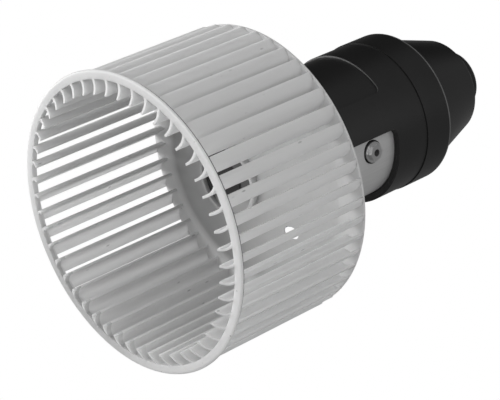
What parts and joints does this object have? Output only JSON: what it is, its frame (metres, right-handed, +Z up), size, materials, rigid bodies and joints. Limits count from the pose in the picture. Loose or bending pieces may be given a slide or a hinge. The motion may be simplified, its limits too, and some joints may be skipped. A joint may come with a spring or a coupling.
{
  "type": "car cabin blower motor",
  "caption": "Car cabin blower motor: an open squirrel-cage fan wheel on the shaft of a canned motor in a slotted plastic sleeve, closed by a tapered rear cap.",
  "frame": {"origin": "on the motor axis, at the middle of the raised seating band at the rear of the plastic sleeve", "axes": "+Y along the motor axis from the fan wheel's open end towards the rear cap; +Z up as pictured, the side terminals 8 degrees round from +X and -X; +X to the side whose terminal is seen"},
  "size_m": [0.15, 0.2329, 0.15],
  "materials": {
    "wheel_plastic": "natural, slightly milky moulded plastic",
    "black_plastic": "black moulded plastic with a dull sheen",
    "bush_rubber": "black moulded rubber",
    "zinc_steel": "bright zinc plating",
    "steel": "ground steel",
    "spring_steel": "dark spring steel",
    "core_steel": "stacked sheet steel, varnished",
    "bronze": "oil-soaked sintered bronze",
    "copper": "turned copper",
    "copper_wire": "varnished copper wire",
    "brass_sheet": "folded brass sheet",
    "ferrite": "grey-black pressed ferrite",
    "carbon": "pressed carbon",
    "fibre": "dark hard fibre and moulded insulation"
  },
  "bodies": {
    "stator": {"front_plate": "zinc_steel", "front_bearing": "bronze", "front_retainer": "spring_steel", "rear_bracket": "zinc_steel", "rear_bearing": "bronze", "rear_retainer": "spring_steel", "motor_can": "zinc_steel", "magnet_upper": "ferrite", "magnet_lower": "ferrite", "brush_carrier": "fibre", "brush_box_upper": "brass_sheet", "brush_box_lower": "brass_sheet", "brush_spring_upper": "spring_steel", "brush_spring_lower": "spring_steel", "supply_insulator": "fibre", "supply_washer": "zinc_steel", "supply_nut": "zinc_steel", "supply_stud": "steel", "earth_insulator": "fibre", "earth_washer": "zinc_steel", "earth_nut": "zinc_steel", "earth_stud": "steel", "housing_sleeve": "black_plastic", "end_cap": "black_plastic"},
    "rotor": {"fan_wheel": "wheel_plastic", "hub_bush": "bush_rubber", "shaft_clip": "spring_steel", "shaft": "steel", "front_washer": "fibre", "rear_washer": "fibre", "armature_core": "core_steel", "armature_windings": "copper_wire", "commutator": "copper"},
    "brush_a": {"brush_upper": "carbon"},
    "brush_b": {"brush_lower": "carbon"}
  },
  "joints": [
    {"name": "rotor_spin", "type": "hinge", "parent": "stator", "child": "rotor", "pos_m": [0, 0, 0], "axis": [0, 1, 0], "continuous": true},
    {"name": "brush_upper_slide", "type": "slide", "parent": "stator", "child": "brush_a", "axis": [0, 0, 1], "range_m": [0, 0.003], "stiffness_N_per_m": 120, "springref_m": -0.006, "deforming": ["brush_spring_upper"]},
    {"name": "brush_lower_slide", "type": "slide", "parent": "stator", "child": "brush_b", "axis": [0, 0, -1], "range_m": [0, 0.003], "stiffness_N_per_m": 120, "springref_m": -0.006, "deforming": ["brush_spring_lower"]}
  ]
}
